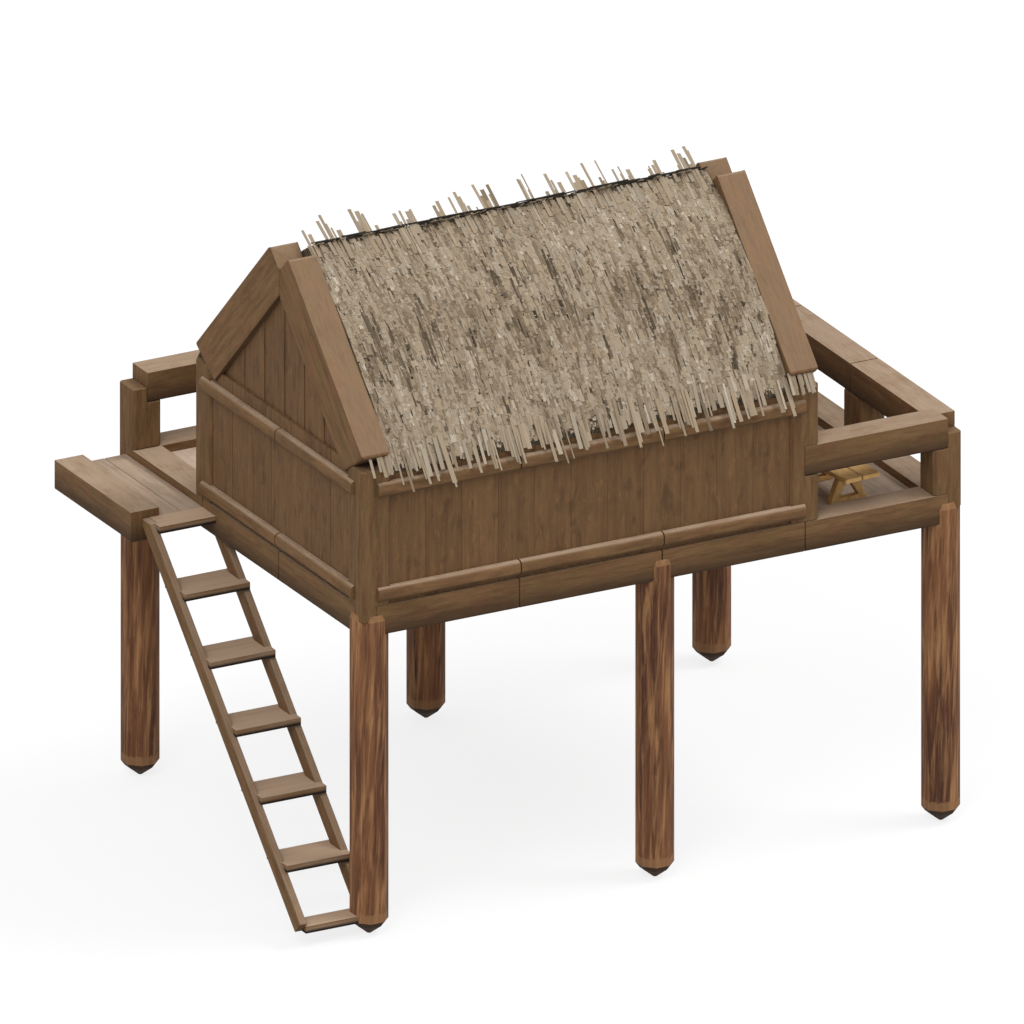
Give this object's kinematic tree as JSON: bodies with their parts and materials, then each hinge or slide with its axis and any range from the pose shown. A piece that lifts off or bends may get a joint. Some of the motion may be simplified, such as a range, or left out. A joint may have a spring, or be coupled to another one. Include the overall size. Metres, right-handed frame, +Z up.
{
  "type": "stilt house",
  "caption": "Thatched plank house on pointed stilts, with a railed deck, a ladder to a landing and a bench; shelters people above ground.",
  "frame": {"origin": "on the ground under the middle of the building", "axes": "+X along the front wall, +Y from the front wall to the back deck, +Z up"},
  "size_m": [7.631, 5.421, 6.7728],
  "materials": {
    "stilt_wood": "weathered, deep grain",
    "log_wood": "weathered, hewn",
    "wall_wood": "weathered boards",
    "floor_wood": "worn, dry boards",
    "thatch": "dry straw",
    "bench_wood": "oiled boards"
  },
  "bodies": {
    "root": {"front_stilts": "stilt_wood", "back_stilts": "stilt_wood", "front_beams": "log_wood", "back_beams": "log_wood", "left_beam": "log_wood", "right_beam": "log_wood", "landing_beam": "log_wood", "landing_bearers": "log_wood", "joists": "log_wood", "back_sill": "log_wood", "right_sill": "log_wood", "front_corner_posts": "log_wood", "back_corner_posts": "log_wood", "back_rail_posts": "log_wood", "right_rail_posts": "log_wood", "front_handrail": "log_wood", "back_handrail": "log_wood", "right_handrail": "log_wood", "left_front_gable_board": "log_wood", "left_back_gable_board": "log_wood", "right_front_gable_board": "log_wood", "right_back_gable_board": "log_wood", "ridge_pole": "log_wood", "front_battens": "log_wood", "back_battens": "log_wood", "left_battens": "log_wood", "right_battens": "log_wood", "ladder_left_stringer": "log_wood", "ladder_right_stringer": "log_wood", "front_wall": "wall_wood", "back_wall": "wall_wood", "left_wall": "wall_wood", "right_wall_front": "wall_wood", "right_wall_back": "wall_wood", "left_gable": "wall_wood", "right_gable": "wall_wood", "house_floor": "floor_wood", "back_deck": "floor_wood", "open_deck": "floor_wood", "landing_boards": "floor_wood", "ladder_treads": "floor_wood", "front_thatch": "thatch", "back_thatch": "thatch", "bench_seat": "bench_wood", "bench_legs": "bench_wood"}
  },
  "joints": []
}
